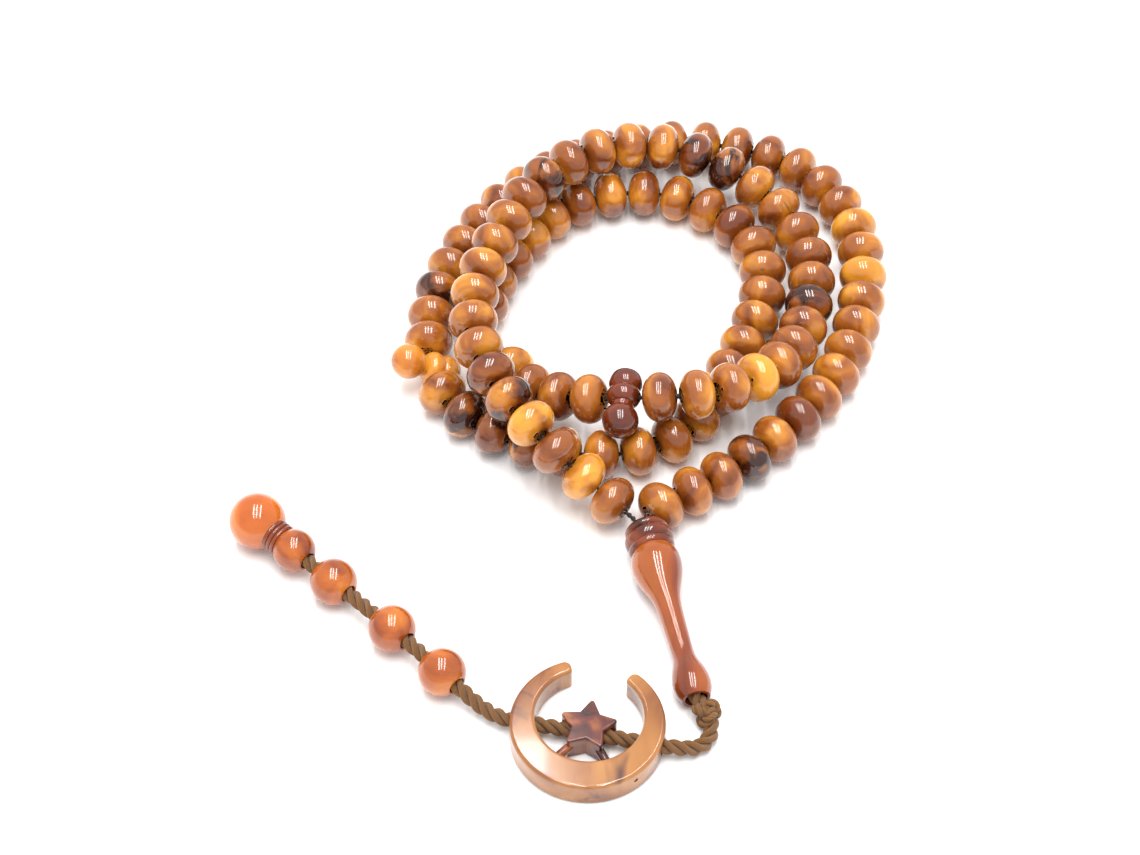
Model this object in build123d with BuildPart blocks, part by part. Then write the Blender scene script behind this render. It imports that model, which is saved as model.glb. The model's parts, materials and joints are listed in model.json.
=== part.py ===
from build123d import *
import math
import os

# Misbaha (prayer beads): one knotted string with three rounds of resin beads, two dividers
# and a long leader (imame), and below it a braided tail cord with a crescent and star
# charm, three round beads, a small ball, a ringed collar and an end ball.
# Sizes are in millimetres. +Z is up, the surface is Z = 0, and the origin is under the
# middle of the whole object.

os.makedirs("parts", exist_ok=True)

# Counting beads and their string
bead_diameter = 10.0
bead_length = 6.75
bead_edge_radius = 2.9
bead_end_diameter = 2.9
bead_bore = 2.4
string_diameter = 1.1

# Dividers: a turned barrel with two lobes, a neck and a ball, threaded crosswise
divider_crown_diameter = 6.7
divider_lobe_diameter = 6.8
divider_groove_diameter = 5.6
divider_neck_diameter = 4.4
divider_ball_diameter = 7.2
divider_crown_length = 4.2
divider_barrel_length = 7.6
divider_neck_length = 1.2
divider_length = 14.9
divider_bore = 1.9

# Leader (imame): ringed head, belly, waist and bulb in one turned piece
imame_length = 40.3
imame_head_length = 6.8
imame_knot_from_end = 4.6
imame_head_diameter = 8.5
imame_ring_diameter = 9.6
imame_thin_ring_diameter = 9.0
imame_belly_diameter = 9.75
imame_waist_diameter = 4.3
imame_bulb_diameter = 7.2
imame_bore = 3.0
imame_mouth_diameter = 4.4
imame_mouth_depth = 1.8
imame_pocket = 4.3
imame_belly_from_mouth = 10.4
imame_waist_from_end = 12.0
imame_bulb_from_end = 3.7
imame_bulb_end_diameter = 5.3

# Tail cord and its knots
tail_cord_diameter = 3.0
tail_bore_clearance = 0.2
string_knot_diameter = 3.9
tail_knot_diameter = 5.1
end_knot_diameter = 4.2

# Crescent and star charm
crescent_diameter = 28.3
crescent_hollow_diameter = 19.8
crescent_hollow_shift = 1.7
crescent_thickness = 5.0
crescent_gap_angle = 50.0
crescent_top_round = 0.7
crescent_bottom_round = 0.4
horn_outer_round = 1.3
horn_inner_round = 0.9
crescent_pin_hole = 0.9
crescent_pin_depth = 1.6
crescent_pin_angle = -52.5
star_diameter = 11.6
star_root_diameter = 6.2
star_tip_round = 0.5
star_lift = 0.2
star_top_round = 0.35
star_foot_diameter = 1.7
star_foot_inset = 1.5
star_foot_length = 4.7
star_feet = (2, 3)

# Tail beads, small ball, collar and end ball
tail_bead_diameter = 9.0
neck_ball_diameter = 8.3
end_ball_diameter = 11.0
collar_diameter = 6.6
collar_clearance = 0.1
collar_bore_clearance = 0.15
collar_ring_pitch = 0.95
collar_ring_depth = 0.35
ball_rim = 0.6
end_knot_overlap = 0.6
end_knot_clearance = 0.1

# The string's route was laid for these bead and leader sizes. Larger beads spread the
# loop about the leader's mouth and taller ones raise it.
laid_bead_diameter = 10.0
laid_bead_length = 6.75
laid_imame_length = 40.3
laid_crescent_diameter = 28.3

# Leader's mouth and the plan direction in which it lies
mouth_x, mouth_y = 13.8, -27.0
imame_plan = Vector(0.2167, -0.9762, 0).normalized()

# Points of the string's loop, chosen by hand: round 1, divider 1, round 2, divider 2, round 3
loop_points = [
    (13.1, -27.1, 5.4),
    (8.3, -22.4, 5.7),
    (3.2, -18.4, 8.0),
    (-2.4, -16.2, 12.4),
    (-7.6, -10.5, 15.0),
    (-13.4, -2.6, 15.2),
    (-17.6, 5.8, 15.3),
    (-20.2, 15.5, 15.4),
    (-20.0, 25.5, 15.5),
    (-17.4, 35.3, 15.5),
    (-13.6, 45.0, 15.5),
    (-9.6, 54.0, 15.5),
    (-3.4, 62.2, 15.3),
    (5.0, 68.4, 14.7),
    (16.2, 72.5, 13.1),
    (29.0, 70.8, 10.4),
    (39.6, 65.0, 7.5),
    (47.0, 55.5, 5.5),
    (50.7, 44.5, 5.0),
    (49.6, 33.0, 5.4),
    (47.2, 22.3, 6.7),
    (43.0, 11.8, 9.0),
    (35.2, 3.2, 12.6),
    (24.8, -3.3, 15.7),
    (12.4, -2.4, 14.2),
    (2.7, -0.4, 11.4),
    (-4.4, 4.2, 7.3),
    (-11.9, 10.2, 5.0),
    (-14.2, 20.0, 4.8),
    (-18.6, 27.2, 5.0),
    (-18.2, 34.2, 5.0),
    (-14.6, 42.4, 5.0),
    (-9.6, 51.4, 5.0),
    (-3.2, 59.8, 5.0),
    (6.0, 64.4, 5.0),
    (17.5, 65.8, 5.0),
    (28.0, 61.3, 5.0),
    (36.8, 53.2, 5.1),
    (40.5, 43.0, 5.1),
    (39.5, 32.0, 5.1),
    (35.5, 20.7, 5.1),
    (30.0, 9.5, 5.0),
    (22.6, -4.2, 5.0),
    (11.6, -9.4, 5.0),
    (-1.0, -9.2, 5.0),
    (-13.0, -4.8, 5.0),
    (-22.8, 1.8, 5.1),
    (-28.4, 10.0, 5.2),
    (-29.8, 21.5, 5.1),
    (-28.5, 35.0, 5.0),
    (-23.5, 48.5, 5.0),
    (-16.0, 61.5, 5.0),
    (-4.5, 72.7, 5.0),
    (9.0, 79.0, 5.0),
    (24.0, 82.0, 5.0),
    (39.0, 79.0, 5.0),
    (51.6, 72.0, 5.0),
    (60.0, 57.5, 5.0),
    (61.6, 43.5, 5.0),
    (59.8, 29.5, 5.0),
    (54.7, 13.0, 5.0),
    (44.5, -1.0, 5.0),
    (33.0, -12.0, 5.0),
    (23.0, -19.2, 5.0),
    (16.6, -21.4, 5.1),
    (14.4, -27.2, 5.3),
]

# Along the string from its first end: centres of each strand's first and last bead
strand_spans = {
    "round_1": (33, 43.1, 281.3),
    "round_2_start": (4, 295.7, 318.6),
    "round_2_rest": (27, 337.6, 530.9),
    "round_3": (33, 545.6, 778.3),
}
# A bead moved along the string, where it bends sharply into the leader
strand_nudges = {("round_3", 32): -0.25}
round_2_group_size = 9
round_3_group_size = 11
divider_stations = (288.5, 538.3)
divider_leans = (Vector(0, -0.99, -0.12), Vector(-0.80, -0.28, 0.53))

# Points of the tail cord, chosen by hand: from the leader through the knot to the charm,
# and from the charm's other side through the tail beads into the end ball
tail_points_to_charm = [
    (22.0, -63.7, 3.7),
    (22.7, -66.9, 3.3),
    (24.9, -69.3, 2.3),
    (25.3, -72.8, 1.6),
    (22.9, -75.9, 1.6),
    (18.5, -76.35, 2.5),
]
tail_points_from_charm = [
    (-13.2, -69.9, 2.5),
    (-17.2, -67.1, 2.6),
    (-21.0, -64.2, 4.35),
    (-27.8, -57.0, 4.7),
    (-39.2, -45.8, 4.5),
    (-49.2, -36.5, 4.5),
    (-57.0, -29.3, 4.9),
    (-61.2, -25.9, 5.65),
]

# The tail knot's distance past the leader's end, and its side and downward offsets
tail_knot_from_end = 2.9
tail_knot_aside = 1.2
tail_knot_down = 0.7

# Crescent centre beside the cord's line, and the plan angles of the charm
crescent_centre = (2.65, -72.3)
crescent_turn = -12.0
star_turn = -9.5
star_shift = (0.1, -0.5)

# Along the tail cord, back from its last end: centres of the pieces on it
end_ball_from_end = 0.9
collar_from_end = 5.45
neck_ball_from_end = 10.8
tail_beads_from_end = (51.35, 37.65, 21.7)


def turning_plane(centre, axis):
    """Plane of a turned piece's half profile: Y along its axis, X outwards."""
    side = axis.cross(Vector(0, 0, 1)).normalized()
    return Plane(origin=centre, x_dir=side, z_dir=side.cross(axis))


def corner_radii(points):
    """Largest arc radius that each corner of a cord's route has room for."""
    radii = []
    for before, corner, after in zip(points, points[1:], points[2:]):
        arriving = Vector(*corner) - Vector(*before)
        leaving = Vector(*after) - Vector(*corner)
        turn = math.radians(arriving.get_angle(leaving))
        radii.append(0.45 * min(arriving.length, leaving.length) / math.tan(turn / 2))
    return radii


def along(line, station):
    """Point of a cord's line at a distance from its first end."""
    return line.position_at(station, position_mode=PositionMode.LENGTH)


def seat(line, station, length):
    """Centre and axis of a piece of this length threaded on a cord at a station."""
    before = along(line, station - 0.35 * length)
    after = along(line, station + 0.35 * length)
    return (before + after) * 0.5, (after - before).normalized()


def oblate_arcs(length, diameter, end_diameter, edge_radius):
    """Outline of an oblate bead: a round edge between two flatter arcs that meet it smoothly."""
    half = length / 2
    end = end_diameter / 2
    reach = diameter / 2 - edge_radius
    excess = end**2 + half**2 - edge_radius**2 - reach**2
    squared = 4 * (half**2 - edge_radius**2)
    linear = 4 * half * excess
    constant = excess**2 - 4 * edge_radius**2 * reach**2
    offset = (-linear + math.sqrt(linear**2 - 4 * squared * constant)) / (2 * squared)
    shoulder_radius = edge_radius + math.hypot(reach, offset)
    start_angle = math.acos(end / shoulder_radius)
    meet_angle = math.atan2(offset, reach)
    middle_angle = (start_angle + meet_angle) / 2
    meet = (
        shoulder_radius * math.cos(meet_angle),
        shoulder_radius * math.sin(meet_angle) - offset,
    )
    middle = (
        shoulder_radius * math.cos(middle_angle),
        shoulder_radius * math.sin(middle_angle) - offset,
    )
    lower = ((end, -half), (middle[0], -middle[1]), (meet[0], -meet[1]))
    edge = ((meet[0], -meet[1]), (diameter / 2, 0), meet)
    upper = (meet, middle, (end, half))
    return [lower, edge, upper]


def bead_blank(length, bore, arcs):
    """A drilled bead on the Z axis, turned to an outline of arcs."""
    with BuildPart() as blank:
        with BuildSketch(Plane.XZ):
            with BuildLine():
                for arc in arcs:
                    ThreePointArc(*arc)
                Polyline(arcs[-1][2], (bore / 2, length / 2), (bore / 2, -length / 2), arcs[0][0])
            make_face()
        revolve(axis=Axis.Z)
    return blank.part


def finish(builder, name):
    """Label a finished piece and write it."""
    builder.part.label = name
    export_step(builder.part, f"parts/{name}.step")


# Places that follow from the sizes above
imame_fall = (imame_belly_diameter - imame_bulb_diameter) / 2
imame_fall /= imame_length - imame_bulb_from_end - imame_belly_from_mouth
imame_axis = Vector(imame_plan.X, imame_plan.Y, -imame_fall).normalized()
imame_side = Vector(-imame_plan.Y, imame_plan.X, 0)
mouth = Vector(mouth_x, mouth_y, imame_belly_diameter / 2 + imame_fall * imame_belly_from_mouth)
knot_depth = imame_length - imame_knot_from_end

plan_scale = max(bead_diameter / laid_bead_diameter, bead_length / laid_bead_length)
height_scale = bead_diameter / laid_bead_diameter


def loop_point(point):
    """A point of the loop, spread and raised for the bead size."""
    x = mouth_x + (point[0] - mouth_x) * plan_scale
    y = mouth_y + (point[1] - mouth_y) * plan_scale
    return (x, y, point[2] * height_scale)


def bore_point(depth_share, side_shift):
    """A point of the string inside the leader's bore, to one side of its axis."""
    place = mouth + imame_axis * (knot_depth * depth_share) + imame_side * side_shift
    return tuple(place)


# The two ends lie side by side in the leader's bore
string_points = [bore_point(1, -0.6), bore_point(0.7, -0.7), bore_point(0.4, -0.58)]
string_points += [bore_point(0.17, -0.7)]
string_points += [loop_point(point) for point in loop_points]
string_points += [bore_point(0.17, 0.7), bore_point(0.4, 0.58)]
string_points += [bore_point(0.7, 0.7), bore_point(1, 0.6)]
string_radii = corner_radii(string_points)

with BuildPart() as bead_string:
    with BuildLine() as string_route:
        FilletPolyline(*string_points, radius=string_radii)
    string_line = string_route.wire()
    with BuildSketch(Plane(origin=string_line @ 0, z_dir=string_line % 0)):
        Circle(string_diameter / 2)
    sweep(path=string_line)
finish(bead_string, "bead_string")
tube_volume = math.pi * string_diameter**2 / 4 * string_line.length
print("string length", round(string_line.length, 1), "least radius", round(min(string_radii), 2))
print("string volume share", round(bead_string.part.volume / tube_volume, 4))

# Centre and axis of each piece that spins, swings or slides
joints = {}


def strand_seats(name):
    """Centres and axes of a strand's beads, evenly spaced between its ends."""
    count, first, last = strand_spans[name]
    pitch = (last - first) / (count - 1)
    stations = []
    for number in range(count):
        nudge = strand_nudges.get((name, number + 1), 0)
        stations.append((first + number * pitch + nudge) * plan_scale)
    return [seat(string_line, station, bead_length) for station in stations]


bead_arcs = oblate_arcs(bead_length, bead_diameter, bead_end_diameter, bead_edge_radius)
counting_bead = bead_blank(bead_length, bead_bore, bead_arcs)

# Round 1: 33 single beads, each free to spin on the string
for number, (centre, axis) in enumerate(strand_seats("round_1"), start=1):
    with BuildPart() as bead:
        with Locations(Plane(origin=centre, z_dir=axis)):
            add(counting_bead)
    finish(bead, f"round_1_bead_{number:02d}")
    joints[f"round_1_bead_{number:02d}"] = (centre, axis)

# Rounds 2 and 3: the same beads in short runs
round_2_rest = strand_seats("round_2_rest")
round_3 = strand_seats("round_3")
bead_runs = {"round_2_beads_a": strand_seats("round_2_start")}
for group, start in zip("bcd", range(0, len(round_2_rest), round_2_group_size)):
    bead_runs[f"round_2_beads_{group}"] = round_2_rest[start : start + round_2_group_size]
for group, start in zip("abc", range(0, len(round_3), round_3_group_size)):
    bead_runs[f"round_3_beads_{group}"] = round_3[start : start + round_3_group_size]
for name, seats in bead_runs.items():
    with BuildPart() as bead_run:
        with Locations([Plane(origin=centre, z_dir=axis) for centre, axis in seats]):
            add(counting_bead)
    finish(bead_run, name)

# Dividers: the string crosses the barrel just above the neck, and the ball points away
divider_hole_from_crown = divider_barrel_length - 1.5
divider_neck_end = divider_barrel_length + divider_neck_length
with BuildPart() as divider_blank:
    with BuildSketch(Plane.XZ):
        with BuildLine():
            crown = Spline(
                (0, 0),
                (0.86 * divider_crown_diameter / 2, 1.0),
                (divider_crown_diameter / 2, 2.6),
                (divider_groove_diameter / 2, divider_crown_length),
                tangents=[(1, 0), (-0.7, 1)],
            )
            lobe = ThreePointArc(
                crown @ 1,
                (divider_lobe_diameter / 2, (divider_crown_length + divider_barrel_length) / 2),
                (divider_neck_diameter / 2, divider_barrel_length),
            )
            Polyline(
                lobe @ 1,
                (divider_neck_diameter / 2, divider_neck_end),
                (0, divider_neck_end),
                crown @ 0,
            )
        make_face()
    revolve(axis=Axis.Z)
    with Locations((0, 0, divider_length - divider_ball_diameter / 2)):
        Sphere(divider_ball_diameter / 2)
    with BuildSketch(Plane.YZ):
        with Locations((0, divider_hole_from_crown)):
            Circle(divider_bore / 2)
    extrude(amount=divider_lobe_diameter, both=True, mode=Mode.SUBTRACT)

for number, (station, lean) in enumerate(zip(divider_stations, divider_leans), start=1):
    hole_centre, string_axis = seat(string_line, station * plan_scale, divider_lobe_diameter)
    divider_axis = (lean - string_axis * lean.dot(string_axis)).normalized()
    crown_top = hole_centre - divider_axis * divider_hole_from_crown
    with BuildPart() as divider:
        with Locations(Plane(origin=crown_top, x_dir=string_axis, z_dir=divider_axis)):
            add(divider_blank.part)
    finish(divider, f"divider_{number}")
    joints[f"divider_{number}"] = (hole_centre, string_axis)

# Leader head: three turned rings round the string's two ends
with BuildPart() as imame_head:
    with BuildSketch(turning_plane(mouth, imame_axis)):
        with BuildLine():
            dome = Spline(
                (imame_mouth_diameter / 2, 0),
                (0.77 * imame_head_diameter / 2, 0.6),
                (imame_head_diameter / 2, 1.9),
                (0.9 * imame_head_diameter / 2, 2.6),
            )
            ring = ThreePointArc(
                dome @ 1, (imame_ring_diameter / 2, 3.9), (0.88 * imame_ring_diameter / 2, 5.3)
            )
            thin_ring = ThreePointArc(
                ring @ 1,
                (imame_thin_ring_diameter / 2, 6.05),
                (imame_thin_ring_diameter / 2 - 0.4, imame_head_length),
            )
            Polyline(
                thin_ring @ 1,
                (imame_bore / 2, imame_head_length),
                (imame_bore / 2, imame_mouth_depth),
                dome @ 0,
            )
        make_face()
    revolve(axis=Axis(mouth, imame_axis))
finish(imame_head, "imame_head")

# Leader body: belly, waist and bulb, bored for the string, with a pocket for its knot
belly_radius = imame_belly_diameter / 2
waist_radius = imame_waist_diameter / 2
waist_station = imame_length - imame_waist_from_end
bulb_station = imame_length - imame_bulb_from_end
pocket_start = knot_depth - string_knot_diameter / 2 - 0.3
with BuildPart() as imame_body:
    with BuildSketch(turning_plane(mouth, imame_axis)):
        with BuildLine():
            outline = Spline(
                (0.82 * belly_radius, imame_head_length),
                (belly_radius, imame_belly_from_mouth),
                (0.85 * belly_radius, imame_belly_from_mouth + 3.4),
                (0.58 * belly_radius, imame_belly_from_mouth + 7.1),
                (1.1 * waist_radius, imame_belly_from_mouth + 11.0),
                (waist_radius, waist_station),
                (1.08 * waist_radius, waist_station + 3.4),
                (imame_bulb_diameter / 2 - 0.35, bulb_station - 2.0),
                (imame_bulb_diameter / 2, bulb_station),
                (imame_bulb_end_diameter / 2, imame_length),
            )
            Polyline(
                outline @ 1,
                (imame_pocket / 2, imame_length),
                (imame_pocket / 2, pocket_start),
                (imame_bore / 2, pocket_start),
                (imame_bore / 2, imame_head_length),
                outline @ 0,
            )
        make_face()
    revolve(axis=Axis(mouth, imame_axis))
finish(imame_body, "imame_body")
joints["imame"] = (mouth, imame_axis)

# The knot that stops the string's two ends inside the bulb
with BuildPart() as string_knot:
    with Locations(mouth + imame_axis * knot_depth):
        Sphere(string_knot_diameter / 2)
finish(string_knot, "string_knot")

# Tail cord: as chosen for the first leader and charm, and shifted with their sizes
leader_growth = imame_axis * (imame_length - laid_imame_length)
leader_growth = Vector(leader_growth.X, leader_growth.Y, 0)
turn = math.radians(crescent_turn)
charm_growth = Vector(-math.cos(turn), -math.sin(turn), 0)
charm_growth *= crescent_diameter - laid_crescent_diameter
tail_points = [tuple(Vector(*point) + leader_growth) for point in tail_points_to_charm]
tail_points += [tuple(Vector(*point) + leader_growth + charm_growth) for point in tail_points_from_charm]
tail_radii = corner_radii(tail_points)

with BuildPart() as tail_cord:
    with BuildLine() as tail_route:
        FilletPolyline(*tail_points, radius=tail_radii)
    tail_line = tail_route.wire()
    with BuildSketch(Plane(origin=tail_line @ 0, z_dir=tail_line % 0)):
        Circle(tail_cord_diameter / 2)
    sweep(path=tail_line)
finish(tail_cord, "tail_cord")
tube_volume = math.pi * tail_cord_diameter**2 / 4 * tail_line.length
print("tail length", round(tail_line.length, 1), "radii", [round(radius, 1) for radius in tail_radii])
print("tail volume share", round(tail_cord.part.volume / tube_volume, 4))

# Overhand knot of the tail cord against the leader's end
imame_end = mouth + imame_axis * imame_length
tail_knot_centre = imame_end + imame_axis * tail_knot_from_end + imame_side * tail_knot_aside
tail_knot_centre += Vector(0, 0, -tail_knot_down)
with BuildPart() as tail_knot:
    with Locations(tail_knot_centre):
        Sphere(tail_knot_diameter / 2)
finish(tail_knot, "tail_knot")

# Crescent: a flat ring with an eccentric hollow, open at the thin side between two horns
tail_bore = tail_cord_diameter + 2 * tail_bore_clearance
charm_centre = Vector(*crescent_centre, 0) + leader_growth + charm_growth * 0.5
cord_before = Vector(*tail_points[len(tail_points_to_charm) - 1])
cord_after = Vector(*tail_points[len(tail_points_to_charm)])
charm_axis = (cord_after - cord_before).normalized()
charm_hole_plane = Plane(origin=(cord_before + cord_after) * 0.5, z_dir=charm_axis)
gap_half = math.radians(crescent_gap_angle / 2)
gap_side = crescent_diameter * math.sin(gap_half)
gap_reach = crescent_diameter * math.cos(gap_half)
with BuildPart() as crescent:
    with BuildSketch(Plane(origin=charm_centre).rotated((0, 0, crescent_turn))) as crescent_outline:
        Circle(crescent_diameter / 2)
        with Locations((0, crescent_hollow_shift)):
            Circle(crescent_hollow_diameter / 2, mode=Mode.SUBTRACT)
        with BuildLine():
            Polyline((0, 0), (gap_side, gap_reach), (-gap_side, gap_reach), close=True)
        make_face(mode=Mode.SUBTRACT)
        horn_corners = crescent_outline.vertices().filter_by(
            lambda corner: corner.Y > crescent_diameter / 4
        )
        outer_corners = horn_corners.filter_by(
            lambda corner: abs(math.hypot(corner.X, corner.Y) - crescent_diameter / 2) < 0.01
        )
        fillet(outer_corners, horn_outer_round)
        horn_corners = crescent_outline.vertices().filter_by(
            lambda corner: corner.Y > crescent_diameter / 4
        )
        inner_corners = horn_corners.sort_by(lambda corner: math.hypot(corner.X, corner.Y))[:2]
        fillet(inner_corners, horn_inner_round)
    extrude(amount=crescent_thickness)
    fillet(crescent.edges().group_by(Axis.Z)[-1], crescent_top_round)
    fillet(crescent.edges().group_by(Axis.Z)[0], crescent_bottom_round)
    with BuildSketch(charm_hole_plane):
        Circle(tail_bore / 2)
    extrude(amount=crescent_diameter, both=True, mode=Mode.SUBTRACT)
    pin_angle = math.radians(crescent_pin_angle)
    pin_outwards = Vector(math.cos(pin_angle), math.sin(pin_angle), 0)
    pin_start = charm_centre + pin_outwards * (crescent_diameter / 2)
    pin_start += Vector(0, 0, 0.6 * crescent_thickness)
    with BuildSketch(Plane(origin=pin_start, z_dir=pin_outwards)):
        Circle(crescent_pin_hole / 2)
    extrude(amount=-crescent_pin_depth, mode=Mode.SUBTRACT)
finish(crescent, "crescent")
joints["crescent"] = ((cord_before + cord_after) * 0.5, charm_axis)

# Star: five points, threaded on the cord, with two feet glued to the crescent's hollow
star_centre = charm_centre + Vector(*star_shift, star_lift)
star_plane = Plane(origin=star_centre).rotated((0, 0, star_turn))
star_corners = []
for corner in range(10):
    reach = (star_diameter if corner % 2 == 0 else star_root_diameter) / 2
    bearing = math.radians(90 + 36 * corner)
    star_corners.append((reach * math.cos(bearing), reach * math.sin(bearing)))
with BuildPart() as star:
    with BuildSketch(star_plane) as star_outline:
        with BuildLine():
            Polyline(*star_corners, close=True)
        make_face()
        tips = star_outline.vertices().filter_by(
            lambda corner: math.hypot(corner.X, corner.Y) > 0.4 * star_diameter
        )
        fillet(tips, star_tip_round)
    extrude(amount=crescent_thickness - star_lift)
    fillet(star.edges().group_by(Axis.Z)[-1], star_top_round)
    for foot in star_feet:
        bearing = math.radians(90 + star_turn + 72 * foot)
        outwards = Vector(math.cos(bearing), math.sin(bearing), 0)
        foot_start = star_centre + outwards * (star_diameter / 2 - star_foot_inset)
        foot_start += Vector(0, 0, crescent_thickness / 2 - star_lift)
        with BuildSketch(Plane(origin=foot_start, z_dir=outwards)):
            Circle(star_foot_diameter / 2)
        extrude(amount=star_foot_length)
    with BuildSketch(charm_hole_plane):
        Circle(tail_bore / 2)
    extrude(amount=star_diameter, both=True, mode=Mode.SUBTRACT)
    add(crescent.part, mode=Mode.SUBTRACT)
finish(star, "star")


def ball_length(diameter, bore):
    """Length of a round ball between the flats round its bore."""
    return math.sqrt(diameter**2 - (bore + ball_rim) ** 2)


# Three round beads on the tail, and the small ball next to the collar
tail_length = tail_line.length
threaded = {}
for number, from_end in enumerate(tail_beads_from_end, start=1):
    threaded[f"tail_bead_{number}"] = (tail_bead_diameter, from_end)
threaded["neck_ball"] = (neck_ball_diameter, neck_ball_from_end)
for name, (diameter, from_end) in threaded.items():
    length = ball_length(diameter, tail_bore)
    centre, axis = seat(tail_line, tail_length - from_end, length)
    rim = (tail_bore + ball_rim) / 2
    round_ball = bead_blank(length, tail_bore, [((rim, -length / 2), (diameter / 2, 0), (rim, length / 2))])
    with BuildPart() as ball:
        with Locations(Plane(origin=centre, z_dir=axis)):
            add(round_ball)
    finish(ball, name)
    joints[name] = (centre, axis)
neck_ball_centre = centre

# End ball: bored halfway for the cord, with a pocket for the knot that stops it
end_axis = (tail_line % 1).normalized()
end_ball_centre = along(tail_line, tail_length - end_ball_from_end)
end_knot_centre = tail_line @ 1 + end_axis * (end_knot_diameter / 2 - end_knot_overlap)
end_pocket_radius = end_knot_diameter / 2 + end_knot_clearance
with BuildPart() as end_ball:
    with Locations(end_ball_centre):
        Sphere(end_ball_diameter / 2)
    with BuildSketch(Plane(origin=end_ball_centre, z_dir=end_axis)):
        Circle(tail_bore / 2)
    extrude(amount=end_ball_diameter, both=True, mode=Mode.SUBTRACT)
    with BuildSketch(Plane(origin=end_knot_centre - end_axis * end_pocket_radius, z_dir=end_axis)):
        Circle(end_pocket_radius)
    extrude(amount=end_ball_diameter, mode=Mode.SUBTRACT)
finish(end_ball, "end_ball")

with BuildPart() as end_knot:
    with Locations(end_knot_centre):
        Sphere(end_knot_diameter / 2)
finish(end_knot, "end_knot")

# Collar: three thin rings that fill the valley between the small ball and the end ball
collar_axis = (end_ball_centre - neck_ball_centre).normalized()
collar_centre = neck_ball_centre + collar_axis * (
    ((end_ball_centre - neck_ball_centre).length + neck_ball_diameter / 2 - end_ball_diameter / 2) / 2
)
collar_bore = tail_bore + 2 * collar_bore_clearance
collar_valley = collar_diameter / 2 - collar_ring_depth
collar_end = 1.5 * collar_ring_pitch
with BuildPart() as collar:
    with BuildSketch(turning_plane(collar_centre, collar_axis)):
        with BuildLine():
            Line((collar_bore / 2, -collar_end), (collar_valley, -collar_end))
            for ring in (-1, 0, 1):
                ThreePointArc(
                    (collar_valley, (ring - 0.5) * collar_ring_pitch),
                    (collar_diameter / 2, ring * collar_ring_pitch),
                    (collar_valley, (ring + 0.5) * collar_ring_pitch),
                )
            Polyline(
                (collar_valley, collar_end),
                (collar_bore / 2, collar_end),
                (collar_bore / 2, -collar_end),
            )
        make_face()
    revolve(axis=Axis(collar_centre, collar_axis))
    with Locations(neck_ball_centre):
        Sphere(neck_ball_diameter / 2 + collar_clearance, mode=Mode.SUBTRACT)
    with Locations(end_ball_centre):
        Sphere(end_ball_diameter / 2, mode=Mode.SUBTRACT)
finish(collar, "collar")

for name, (centre, axis) in joints.items():
    print(name, "at", tuple(centre), "axis", tuple(axis))
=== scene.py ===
import json
import math
import random

import bmesh
import bpy
from mathutils import Matrix, Vector


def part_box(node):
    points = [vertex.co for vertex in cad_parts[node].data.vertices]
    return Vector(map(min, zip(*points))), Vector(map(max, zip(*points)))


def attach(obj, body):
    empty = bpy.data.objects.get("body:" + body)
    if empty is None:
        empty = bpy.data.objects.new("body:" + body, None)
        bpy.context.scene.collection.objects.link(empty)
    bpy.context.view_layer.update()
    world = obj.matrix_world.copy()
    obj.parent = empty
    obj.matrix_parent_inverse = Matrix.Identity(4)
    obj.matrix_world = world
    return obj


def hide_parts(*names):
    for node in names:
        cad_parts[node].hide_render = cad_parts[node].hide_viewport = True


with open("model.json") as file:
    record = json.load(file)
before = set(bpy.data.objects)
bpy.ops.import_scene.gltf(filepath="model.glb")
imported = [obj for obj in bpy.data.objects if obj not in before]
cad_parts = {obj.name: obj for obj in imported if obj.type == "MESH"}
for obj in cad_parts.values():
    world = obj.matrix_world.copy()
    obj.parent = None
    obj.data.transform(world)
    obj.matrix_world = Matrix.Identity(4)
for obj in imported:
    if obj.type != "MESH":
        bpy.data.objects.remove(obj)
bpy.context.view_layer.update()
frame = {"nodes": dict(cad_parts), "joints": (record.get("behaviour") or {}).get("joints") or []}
bpy.ops.object.select_all(action="DESELECT")

# Camera, pale table and studio light. The table is smooth white card. The light is a
# wide soft panel overhead and narrow strips that draw the bright streaks on each bead.
camera_place = (-0.0005, -0.324, 0.37485)
camera_pitch = math.radians(41.03)
bpy.ops.object.camera_add(location=camera_place, rotation=(camera_pitch, 0, 0))
camera = bpy.context.object
camera.data.lens = 77.9
camera.data.sensor_width = 36
camera.data.clip_start = 0.01
bpy.context.scene.camera = camera
bpy.context.scene.view_settings.view_transform = "Standard"


def paint(hex_code):
    """An sRGB hex colour as linear red, green, blue and alpha."""
    channels = [int(hex_code[at : at + 2], 16) / 255 for at in (1, 3, 5)]
    linear = [c / 12.92 if c <= 0.04045 else ((c + 0.055) / 1.055) ** 2.4 for c in channels]
    return (*linear, 1.0)


def add_node(material, kind, inputs=(), stops=(), **settings):
    """Add a node, with its settings, its values or links, and a ramp's colour stops."""
    made = material.node_tree.nodes.new(kind)
    for name, value in settings.items():
        setattr(made, name, value)
    for name, value in dict(inputs).items():
        if isinstance(value, bpy.types.NodeSocket):
            material.node_tree.links.new(value, made.inputs[name])
        else:
            made.inputs[name].default_value = value
    for number, (place, colour) in enumerate(stops):
        elements = made.color_ramp.elements
        stop = elements[number] if number < 2 else elements.new(place)
        stop.position = place
        stop.color = colour
    return made


def new_material(name):
    """An empty material and its output node."""
    material = bpy.data.materials.new(name)
    material.use_nodes = True
    material.node_tree.nodes.clear()
    return material, add_node(material, "ShaderNodeOutputMaterial")


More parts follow.
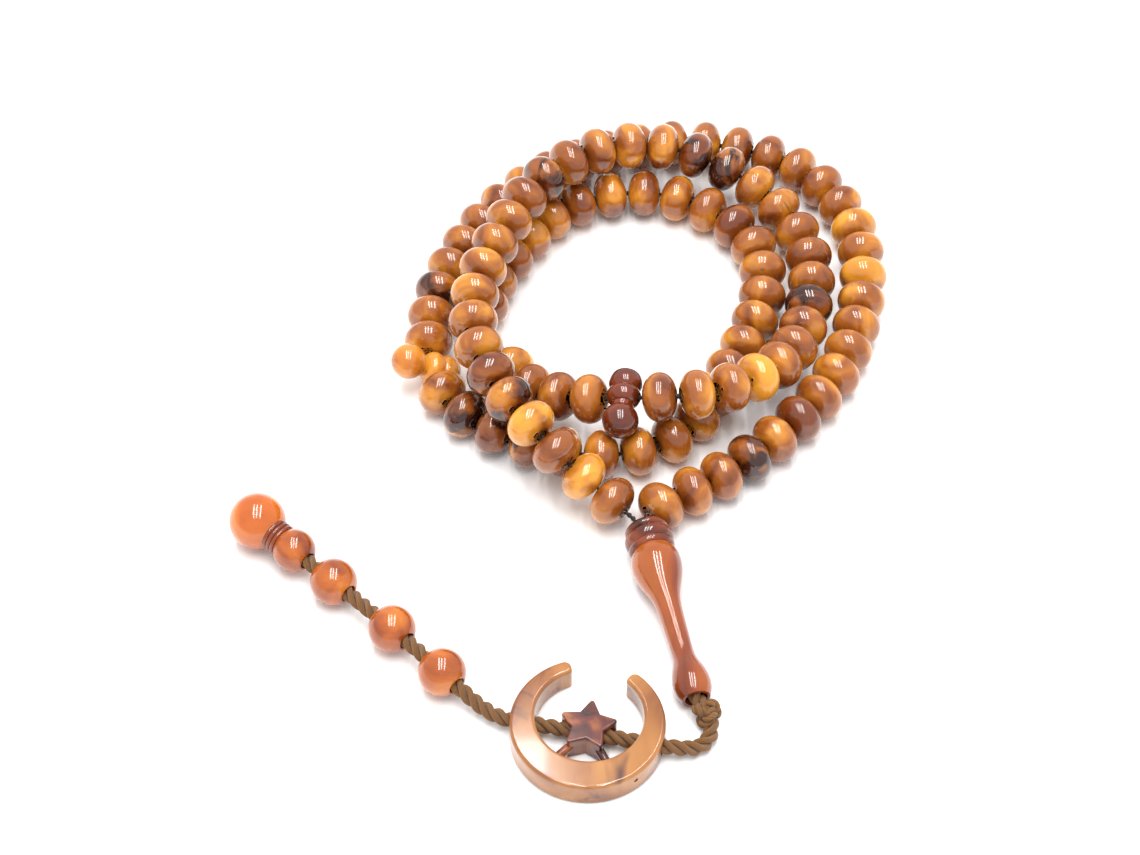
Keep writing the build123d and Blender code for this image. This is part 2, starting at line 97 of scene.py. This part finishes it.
# Matt white card: a faint, wide unevenness in its tone
card, card_out = new_material("matt_white_card")
card_place = add_node(card, "ShaderNodeTexCoord")
card_noise = add_node(card, "ShaderNodeTexNoise", {"Vector": card_place.outputs["Object"], "Scale": 3.0})
card_tone = add_node(card, "ShaderNodeValToRGB", {"Fac": card_noise.outputs["Fac"]},
                     stops=[(0.3, paint("#f6f6f6")), (0.7, paint("#fafafa"))])
card_shader = add_node(card, "ShaderNodeBsdfPrincipled",
                       {"Base Color": card_tone.outputs["Color"], "Roughness": 0.7,
                        "Specular IOR Level": 0.2})
card.node_tree.links.new(card_shader.outputs[0], card_out.inputs["Surface"])
bpy.ops.mesh.primitive_plane_add(size=6, location=(0, 0, -0.0002))
table = bpy.context.object
table.name = "table_card"
table.data.materials.append(card)

world = bpy.data.worlds.new("white_room")
world.use_nodes = True
world.node_tree.nodes["Background"].inputs["Color"].default_value = (1, 1, 1, 1)
world.node_tree.nodes["Background"].inputs["Strength"].default_value = 0.95
bpy.context.scene.world = world
# Each light faces straight down: its place, width, depth and power
studio_lights = {
    "overhead_panel": ((0.0, 0.0, 1.3), 0.8, 0.8, 2.0),
    "strip_left": ((-0.19, 0.02, 0.80), 0.040, 0.90, 3.0),
    "strip_middle": ((-0.03, 0.02, 0.82), 0.032, 0.90, 2.4),
    "strip_right": ((0.17, 0.02, 0.80), 0.040, 0.90, 3.0),
}
for name, (place, width, depth, power) in studio_lights.items():
    bpy.ops.object.light_add(type="AREA", location=place)
    light = bpy.context.object
    light.name = name
    light.data.shape = "RECTANGLE"
    light.data.size = width
    light.data.size_y = depth
    light.data.energy = power

# Bead string: one waxed black twisted thread, 1.1 mm thick, through every counting bead
# and both dividers, with its two ends side by side in the leader's bore.
thread_diameter = 0.0011
thread_twist = 0.0022
ply_share = 0.27
ply_offset_share = 0.23
leader = next(j for j in frame["joints"] if j["name"] == "imame_turn")
leader_mouth = Vector(leader["pos_m"])
leader_axis = Vector(leader["axis"]).normalized()
leader_side = Vector((-leader_axis.y, leader_axis.x, 0)).normalized()
leader_knot_depth = 0.0357
loop_mm = [
    (13.1, -27.1, 5.4), (8.3, -22.4, 5.7), (3.2, -18.4, 8.0), (-2.4, -16.2, 12.4),
    (-7.6, -10.5, 15.0), (-13.4, -2.6, 15.2), (-17.6, 5.8, 15.3), (-20.2, 15.5, 15.4),
    (-20.0, 25.5, 15.5), (-17.4, 35.3, 15.5), (-13.6, 45.0, 15.5), (-9.6, 54.0, 15.5),
    (-3.4, 62.2, 15.3), (5.0, 68.4, 14.7), (16.2, 72.5, 13.1), (29.0, 70.8, 10.4),
    (39.6, 65.0, 7.5), (47.0, 55.5, 5.5), (50.7, 44.5, 5.0), (49.6, 33.0, 5.4),
    (47.2, 22.3, 6.7), (43.0, 11.8, 9.0), (35.2, 3.2, 12.6), (24.8, -3.3, 15.7),
    (12.4, -2.4, 14.2), (2.7, -0.4, 11.4), (-4.4, 4.2, 7.3), (-11.9, 10.2, 5.0),
    (-14.2, 20.0, 4.8), (-18.6, 27.2, 5.0), (-18.2, 34.2, 5.0), (-14.6, 42.4, 5.0),
    (-9.6, 51.4, 5.0), (-3.2, 59.8, 5.0), (6.0, 64.4, 5.0), (17.5, 65.8, 5.0),
    (28.0, 61.3, 5.0), (36.8, 53.2, 5.1), (40.5, 43.0, 5.1), (39.5, 32.0, 5.1),
    (35.5, 20.7, 5.1), (30.0, 9.5, 5.0), (22.6, -4.2, 5.0), (11.6, -9.4, 5.0),
    (-1.0, -9.2, 5.0), (-13.0, -4.8, 5.0), (-22.8, 1.8, 5.1), (-28.4, 10.0, 5.2),
    (-29.8, 21.5, 5.1), (-28.5, 35.0, 5.0), (-23.5, 48.5, 5.0), (-16.0, 61.5, 5.0),
    (-4.5, 72.7, 5.0), (9.0, 79.0, 5.0), (24.0, 82.0, 5.0), (39.0, 79.0, 5.0),
    (51.6, 72.0, 5.0), (60.0, 57.5, 5.0), (61.6, 43.5, 5.0), (59.8, 29.5, 5.0),
    (54.7, 13.0, 5.0), (44.5, -1.0, 5.0), (33.0, -12.0, 5.0), (23.0, -19.2, 5.0),
    (16.6, -21.4, 5.1), (14.4, -27.2, 5.3),
]


def in_bore(depth_share, side_mm):
    """A point of the string inside the leader's bore, to one side of its axis."""
    return leader_mouth + leader_axis * (leader_knot_depth * depth_share) + leader_side * (side_mm / 1000)


def route_line(name, points):
    """The smooth line of a cord, as the points of its open NURBS spline."""
    curve = bpy.data.curves.new(name, "CURVE")
    curve.dimensions = "3D"
    curve.resolution_u = 16
    spline = curve.splines.new("NURBS")
    spline.points.add(len(points) - 1)
    for control, place in zip(spline.points, points):
        control.co = (*place, 1)
    spline.order_u = 3
    spline.use_endpoint_u = True
    holder = bpy.data.objects.new(name, curve)
    bpy.context.scene.collection.objects.link(holder)
    line = bpy.data.meshes.new_from_object(holder)
    found = [vertex.co.copy() for vertex in line.vertices]
    bpy.data.meshes.remove(line)
    bpy.data.objects.remove(holder)
    bpy.data.curves.remove(curve)
    return found


def evenly(line, step):
    """Points a step apart along a line, with the line's two ends."""
    spaced, carried = [line[0]], 0.0
    for before, after in zip(line, line[1:]):
        gap = (after - before).length
        while gap and carried + gap >= step:
            before = before.lerp(after, (step - carried) / gap)
            spaced.append(before)
            gap, carried = (after - before).length, 0.0
        carried += gap
    return spaced + [line[-1]]


def laid_strands(name, line, strand_radius, lay_radius, pitch, count, sides, closed=False):
    """Strands twisted round a line, as one mesh whose UV runs along and round each strand."""
    tangents = []
    for number in range(len(line)):
        before, after = line[max(number - 1, 0)], line[min(number + 1, len(line) - 1)]
        tangents.append((after - before).normalized())
    across = [tangents[0].orthogonal().normalized()]
    for tangent in tangents[1:]:
        across.append((across[-1] - tangent * across[-1].dot(tangent)).normalized())
    travelled = [0.0]
    for before, after in zip(line, line[1:]):
        travelled.append(travelled[-1] + (after - before).length)
    built = bmesh.new()
    lay_uv = built.loops.layers.uv.new("UVMap")
    for strand in range(count):
        centres = []
        for place, tangent, side, gone in zip(line, tangents, across, travelled):
            turn = math.tau * (gone / pitch + strand / count)
            other = tangent.cross(side)
            centres.append(place + (side * math.cos(turn) + other * math.sin(turn)) * lay_radius)
        rings = []
        for number, centre in enumerate(centres):
            tangent = tangents[number]
            side, other = across[number], tangent.cross(across[number])
            ring = []
            for corner in range(sides):
                round_turn = math.tau * corner / sides
                out = side * math.cos(round_turn) + other * math.sin(round_turn)
                ring.append(built.verts.new(centre + out * strand_radius))
            rings.append(ring)
        for number in range(len(rings) - 1):
            for corner in range(sides):
                following = (corner + 1) % sides
                face = built.faces.new((rings[number][corner], rings[number][following],
                                        rings[number + 1][following], rings[number + 1][corner]))
                face.smooth = True
                spots = ((number, corner), (number, corner + 1),
                         (number + 1, corner + 1), (number + 1, corner))
                for loop, (row, column) in zip(face.loops, spots):
                    loop[lay_uv].uv = (travelled[row] * 1000, column / sides)
        if not closed:
            built.faces.new(list(reversed(rings[0])))
            built.faces.new(rings[-1])
    bmesh.ops.recalc_face_normals(built, faces=built.faces)
    mesh = bpy.data.meshes.new(name)
    built.to_mesh(mesh)
    built.free()
    piece = bpy.data.objects.new(name, mesh)
    bpy.context.scene.collection.objects.link(piece)
    return piece


def spun_fibre(name, dark, light, roughness, fuzz, fibres_per_mm):
    """Twisted fibre: slanting fine yarns across each strand, with painted highlight on their crests and
    painted shade in their furrows.
    """
    material, output = new_material(name)
    place = add_node(material, "ShaderNodeUVMap", uv_map="UVMap")
    slant = add_node(material, "ShaderNodeMapping",
                     {"Vector": place.outputs["UV"], "Scale": (fibres_per_mm, 5.0, 1.0),
                      "Rotation": (0, 0, 0.5)})
    yarn = add_node(material, "ShaderNodeTexWave",
                    {"Vector": slant.outputs["Vector"], "Scale": 1.0, "Distortion": 1.5, "Detail": 2.0})
    # The tone follows the relief: painted highlight on the crests, painted shade in the furrows
    tone = add_node(material, "ShaderNodeValToRGB", {"Fac": yarn.outputs["Fac"]},
                    stops=[(0.15, dark), (0.85, light)])
    relief = add_node(material, "ShaderNodeBump",
                      {"Height": yarn.outputs["Fac"], "Strength": 0.6, "Distance": 0.0001})
    shader = add_node(material, "ShaderNodeBsdfPrincipled",
                      {"Base Color": tone.outputs["Color"], "Roughness": roughness,
                       "Sheen Weight": fuzz, "Normal": relief.outputs["Normal"]})
    material.node_tree.links.new(shader.outputs[0], output.inputs["Surface"])
    return material


string_points = [in_bore(1, -0.6), in_bore(0.7, -0.7), in_bore(0.4, -0.58), in_bore(0.17, -0.7)]
string_points += [Vector(point) / 1000 for point in loop_mm]
string_points += [in_bore(0.17, 0.7), in_bore(0.4, 0.58), in_bore(0.7, 0.7), in_bore(1, 0.6)]
string_line = evenly(route_line("string_route", string_points), 0.0005)
bead_thread = laid_strands("black_bead_thread", string_line, thread_diameter * ply_share,
                           thread_diameter * ply_offset_share, thread_twist, 2, 6)
# Waxed twisted nylon: near black with a dull shine, a painted highlight along each ply and painted shade
# between the plies
waxed_thread = spun_fibre("waxed_black_twisted_nylon", paint("#0b0807"), paint("#2a1c14"), 0.55, 0.1, 3.0)
bead_thread.data.materials.append(waxed_thread)
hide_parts("bead_string")
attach(bead_thread, "string_and_tail")

# Tail cord: three soft brown strands laid into a 3 mm cord, from the leader's end through
# the crescent and star and the tail beads into the end ball.
tail_diameter = 0.003
tail_pitch = 0.0075
tail_mm = [
    (22.0, -63.7, 3.7), (22.7, -66.9, 3.3), (24.9, -69.3, 2.3), (25.3, -72.8, 1.6),
    (22.9, -75.9, 1.6), (18.5, -76.35, 2.5), (13.7, -75.37, 2.5), (-8.4, -70.88, 2.5),
    (-13.2, -69.9, 2.5), (-17.2, -67.1, 2.6), (-21.0, -64.2, 4.35), (-27.8, -57.0, 4.7),
    (-39.2, -45.8, 4.5), (-49.2, -36.5, 4.5), (-57.0, -29.3, 4.9), (-61.2, -25.9, 5.65),
]
tail_line = evenly(route_line("tail_route", [Vector(point) / 1000 for point in tail_mm]), 0.0003)
strand_share = 0.464
tail_strand = tail_diameter / 2 * strand_share
tail_cord = laid_strands("brown_laid_tail_cord", tail_line, tail_strand,
                         tail_diameter / 2 - tail_strand, tail_pitch, 3, 12)
# Laid cotton cord: matt brown, with painted highlight on the fine yarns and painted shade in the furrows
laid_cotton = spun_fibre("laid_brown_cotton", paint("#3e220c"), paint("#94642c"), 0.85, 0.15, 2.2)
tail_cord.data.materials.append(laid_cotton)
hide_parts("tail_cord")
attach(tail_cord, "string_and_tail")

# Tail knot: an overhand knot of the same cord, pulled tight against the leader's end, and
# the two hidden stop knots of the string and the cord, tied the same way.
trefoil_steps = 150
trefoil_height = 1.6
knot_pitch = 0.004
# For each knot: how far it stays inside its outer radius, its cord's radius, that outer radius
knots = {
    "tail_knot": (0.00000, 0.00115, 0.00300),
    "string_knot": (0.00006, 0.00055, 0.00195),
    "end_knot": (0.00008, 0.00080, 0.00210),
}
for node_name, (loose, strand, reach) in knots.items():
    low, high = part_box(node_name)
    centre = (low + high) / 2
    turns = []
    for step in range(trefoil_steps + 1):
        angle = math.tau * step / trefoil_steps
        loop = Vector((math.sin(angle) + 2 * math.sin(2 * angle),
                       math.cos(angle) - 2 * math.cos(2 * angle),
                       -trefoil_height * math.sin(3 * angle)))
        turns.append(centre + loop * ((reach - strand - loose) / 3))
    knot = laid_strands(f"tied_{node_name}", turns, strand * 0.5, strand * 0.5, knot_pitch, 3, 8, closed=True)
    closing = bmesh.new()
    closing.from_mesh(knot.data)
    open_edges = [edge for edge in closing.edges if edge.is_boundary]
    bmesh.ops.holes_fill(closing, edges=open_edges, sides=0)
    bmesh.ops.recalc_face_normals(closing, faces=closing.faces)
    closing.to_mesh(knot.data)
    closing.free()
    knot.data.materials.append(waxed_thread if node_name == "string_knot" else laid_cotton)
    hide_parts(node_name)
    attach(knot, "string_and_tail")

# Counting beads: oblate amber-coloured resin, cast marbled, turned, drilled and tumbled
# to a high gloss. Each is threaded on the string.
bead_radius = 0.005
bead_half_length = 0.003375
bead_flat_radius = 0.00145
bead_bore_radius = 0.0012
bead_fullness = 2.2
flat_share = 1 - (bead_flat_radius / bead_radius) ** bead_fullness
fullest_half = bead_half_length / flat_share ** (1 / bead_fullness)
bpy.ops.object.select_all(action="DESELECT")
bpy.ops.mesh.primitive_uv_sphere_add(segments=32, ring_count=18, radius=bead_radius)
pattern_bead = bpy.context.object
bpy.ops.object.mode_set(mode="EDIT")
bpy.ops.mesh.select_all(action="SELECT")
bpy.ops.transform.resize(value=(1, 1, fullest_half / bead_radius))
bpy.ops.object.mode_set(mode="OBJECT")
for vertex in pattern_bead.data.vertices:
    outwards = math.hypot(vertex.co.x, vertex.co.y) / bead_radius
    upwards = abs(vertex.co.z) / fullest_half
    swell = (outwards**bead_fullness + upwards**bead_fullness) ** (-1 / bead_fullness)
    vertex.co *= swell
bpy.ops.object.mode_set(mode="EDIT")
for end in (1, -1):
    bpy.ops.mesh.select_all(action="SELECT")
    bpy.ops.mesh.bisect(plane_co=(0, 0, end * bead_half_length), plane_no=(0, 0, end),
                        use_fill=True, clear_outer=True)
bpy.ops.mesh.select_all(action="DESELECT")
bpy.ops.object.mode_set(mode="OBJECT")
for face in pattern_bead.data.polygons:
    face.select = abs(face.normal.z) > 0.999 and len(face.vertices) > 8
bpy.ops.object.mode_set(mode="EDIT")
bpy.ops.mesh.select_mode(type="FACE")
bpy.ops.mesh.inset(thickness=bead_flat_radius - bead_bore_radius)
bpy.ops.mesh.bridge_edge_loops()
bpy.ops.mesh.select_all(action="SELECT")
bpy.ops.mesh.normals_make_consistent(inside=False)
bpy.ops.object.mode_set(mode="OBJECT")
bpy.ops.object.shade_smooth_by_angle(angle=math.radians(40))
bead_pattern_mesh = pattern_bead.data
bpy.data.objects.remove(pattern_bead)


def cast_resin(name, deep, middle, bright, swirl_mm, smoke, smoke_reach, gloss, stretch=(1, 1, 1)):
    """Marbled cast resin: swirls of three tones, smoky patches and a polished surface."""
    material, output = new_material(name)
    place = add_node(material, "ShaderNodeTexCoord")
    laid = add_node(material, "ShaderNodeMapping", {"Vector": place.outputs["Object"], "Scale": stretch})
    swirl = add_node(material, "ShaderNodeTexNoise",
                     {"Vector": laid.outputs["Vector"], "Scale": 1000 / swirl_mm, "Detail": 3.0,
                      "Roughness": 0.45, "Distortion": 0.9})
    tone = add_node(material, "ShaderNodeAttribute", attribute_name="tone")
    shifted = add_node(material, "ShaderNodeMath", {0: swirl.outputs["Fac"], 1: tone.outputs["Fac"]},
                       operation="ADD")
    colour = add_node(material, "ShaderNodeValToRGB", {"Fac": shifted.outputs[0]},
                      stops=[(0.30, deep), (0.76, bright), (0.50, middle)])
    patch = add_node(material, "ShaderNodeTexNoise",
                     {"Vector": laid.outputs["Vector"], "Scale": 1000 / (1.6 * swirl_mm), "Detail": 3.0,
                      "Roughness": 0.6, "Distortion": 2.2})
    smoky = add_node(material, "ShaderNodeAttribute", attribute_name="smoke")
    raised = add_node(material, "ShaderNodeMath", {0: patch.outputs["Fac"], 1: smoky.outputs["Fac"]},
                      operation="ADD")
    share = add_node(material, "ShaderNodeValToRGB", {"Fac": raised.outputs[0]},
                     stops=[(smoke_reach, (0, 0, 0, 1)), (smoke_reach + 0.12, (1, 1, 1, 1))])
    mixed = add_node(material, "ShaderNodeMix", data_type="RGBA",
                     inputs={0: share.outputs["Color"], 6: colour.outputs["Color"], 7: smoke})
    shader = add_node(material, "ShaderNodeBsdfPrincipled",
                      {"Base Color": mixed.outputs[2], "Roughness": gloss, "IOR": 1.54,
                       "Subsurface Weight": 0.15, "Subsurface Radius": (1.0, 0.45, 0.15),
                       "Subsurface Scale": 0.003, "Coat Weight": 0.4, "Coat Roughness": 0.04})
    material.node_tree.links.new(shader.outputs[0], output.inputs["Surface"])
    return material


# Amber-coloured polyester resin: caramel and orange swirls with dark red smoke, polished
amber_resin = cast_resin("polished_marbled_amber_resin", paint("#6a3010"), paint("#9a561c"),
                         paint("#da942c"), 8.0, paint("#30100a"), 0.68, 0.12)


def place_beads(name, seats, node_name, body):
    """Copies of the pattern bead on their seats, as one piece of its own mesh."""
    joined = bmesh.new()
    tone_layer = joined.verts.layers.float.new("tone")
    smoke_layer = joined.verts.layers.float.new("smoke")
    for centre, axis, tone, smoke in seats:
        before = len(joined.verts)
        joined.from_mesh(bead_pattern_mesh)
        joined.verts.ensure_lookup_table()
        turn = Matrix.Translation(centre) @ axis.to_track_quat("Z", "Y").to_matrix().to_4x4()
        for vertex in joined.verts[before:]:
            vertex.co = turn @ vertex.co
            vertex[tone_layer] = tone
            vertex[smoke_layer] = smoke
    mesh = bpy.data.meshes.new(name)
    joined.to_mesh(mesh)
    joined.free()
    piece = bpy.data.objects.new(name, mesh)
    bpy.context.scene.collection.objects.link(piece)
    mesh.materials.append(amber_resin)
    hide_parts(node_name)
    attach(piece, body)


def cad_beads(node_name):
    """Centre and axis of each bead of a run, in their order along the string."""
    merged = bmesh.new()
    merged.from_mesh(frame["nodes"][node_name].data)
    bmesh.ops.remove_doubles(merged, verts=merged.verts, dist=1e-6)
    merged.verts.ensure_lookup_table()
    unseen, found = set(merged.verts), []
    while unseen:
        start = unseen.pop()
        island, to_visit = [start], [start]
        while to_visit:
            for edge in to_visit.pop().link_edges:
                for vertex in edge.verts:
                    if vertex in unseen:
                        unseen.discard(vertex)
                        island.append(vertex)
                        to_visit.append(vertex)
        faces = {face for vertex in island for face in vertex.link_faces}
        weights = [face.calc_area() * 1e6 for face in faces]
        middles = [face.calc_center_median() for face in faces]
        centre = sum((middle * weight for middle, weight in zip(middles, weights)), Vector()) / sum(weights)
        spread = Matrix(((0, 0, 0), (0, 0, 0), (0, 0, 0)))
        for middle, weight in zip(middles, weights):
            reach = (middle - centre) * 1000
            for row in range(3):
                for column in range(3):
                    spread[row][column] += reach[row] * reach[column] * weight
        inverse = (spread * (1 / spread[0][0])).inverted()
        axis = Vector((0.3, 0.5, 0.8))
        for _ in range(60):
            axis = (inverse @ axis).normalized()
        gaps = [(point - centre).length_squared for point in string_line]
        nearest = gaps.index(min(gaps))
        found.append((nearest, centre, axis))
    merged.free()
    return [(centre, axis) for _, centre, axis in sorted(found, key=lambda bead: bead[0])]


shades = random.Random(33)
dark_beads = {"round_1": (5, 6, 14, 19, 20, 26), "round_2_beads_d": (6, 7, 8), "round_3_beads_a": (3,),
              "round_3_beads_c": (8,)}
bright_beads = {"round_1": (2, 4, 30, 32), "round_2_beads_a": (4,), "round_3_beads_b": (9, 10, 11)}
# Shift in tone, and in smokiness
dark_shade = (-0.10, 0.22)
bright_shade = (0.14, -0.14)


def bead_shade(run, number):
    """Tone and smokiness of a bead: most vary a little, and a few are dark or bright."""
    if number in dark_beads.get(run, ()):
        return dark_shade
    if number in bright_beads.get(run, ()):
        return bright_shade
    return shades.uniform(-0.05, 0.05), shades.uniform(-0.10, 0.02)


for joint in frame["joints"]:
    if joint["name"].startswith("bead_"):
        number = int(joint["child"][-2:])
        seat = (Vector(joint["pos_m"]), Vector(joint["axis"]), *bead_shade("round_1", number))
        place_beads(f"amber_bead_1_{number:02d}", [seat], joint["child"], joint["child"])
for node_name in sorted(frame["nodes"]):
    if node_name.startswith(("round_2", "round_3")):
        seats = []
        for number, (centre, axis) in enumerate(cad_beads(node_name), start=1):
            seats.append((centre, axis, *bead_shade(node_name, number)))
        place_beads(f"amber_run_{node_name[6]}{node_name[-1]}", seats, node_name, "string_and_tail")

# Dividers: small turned resin pieces with a two-lobed barrel, a neck and a ball, drilled
# crosswise for the string. They are plainer and redder than the beads.
leader_resin = cast_resin("polished_red_brown_resin", paint("#3c1206"), paint("#6e2a0f"),
                          paint("#96481c"), 9.0, paint("#240a05"), 0.74, 0.12)
# The second divider is a brighter amber
bright_resin = cast_resin("polished_bright_amber_resin", paint("#9a4a14"), paint("#c47624"),
                          paint("#e29a38"), 9.0, paint("#6a2a0e"), 0.84, 0.12)


def cast_in(node_name, resin):
    """Give a piece its resin in place of its plain finish."""
    frame["nodes"][node_name].data.materials.clear()
    frame["nodes"][node_name].data.materials.append(resin)


cast_in("divider_1", leader_resin)
cast_in("divider_2", bright_resin)

# Leader: a long turned piece in two parts, a ringed head and a body with belly, waist and
# bulb, bored through for the string. The body is cast in a slightly lighter resin.
body_resin = cast_resin("polished_warm_brown_resin", paint("#4a1808"), paint("#823812"),
                        paint("#b2601f"), 11.0, paint("#2c0d06"), 0.78, 0.10, (1, 0.35, 1))
cast_in("imame_head", leader_resin)
cast_in("imame_body", body_resin)

# Crescent: a flat polished ring of tan resin with smoky streaks, sawn from marbled sheet,
# its edges rounded, and drilled through both sides for the cord.
sheet_resin = cast_resin("polished_tan_streaked_resin", paint("#6c3416"), paint("#97602f"),
                         paint("#b98044"), 12.0, paint("#4e2a26"), 0.58, 0.12, (1, 0.5, 1))
cast_in("crescent", sheet_resin)

# Star: a small five-pointed piece of darker resin, threaded on the cord in the crescent's
# hollow, with two feet glued to the crescent.
star_resin = cast_resin("polished_dark_star_resin", paint("#2a0c0a"), paint("#5c2217"),
                        paint("#a05a26"), 5.0, paint("#21090c"), 0.66, 0.12)
cast_in("star", star_resin)

# Tail beads, small ball, ringed collar and end ball: turned and polished resin of an even
# orange brown. The end ball is the brightest.
tail_resin = cast_resin("polished_orange_brown_resin", paint("#7c3410"), paint("#a85418"),
                        paint("#cc7a24"), 8.0, paint("#5a200c"), 0.76, 0.12)
end_resin = cast_resin("polished_bright_orange_resin", paint("#90400f"), paint("#b85a18"),
                       paint("#da8426"), 9.0, paint("#6a2a0e"), 0.80, 0.11)
tail_pieces = {"tail_bead_1": tail_resin, "tail_bead_2": tail_resin, "tail_bead_3": tail_resin,
               "neck_ball": tail_resin, "collar": leader_resin, "end_ball": end_resin}
for node_name, resin in tail_pieces.items():
    cast_in(node_name, resin)

# The tail cord leaves the leader's end; the pieces threaded on it and its two knots are gathered in one list.
on_the_cord = [frame["nodes"][node_name] for node_name in (*tail_pieces, "crescent", "star")]
on_the_cord += [bpy.data.objects["tied_tail_knot"], bpy.data.objects["tied_end_knot"]]
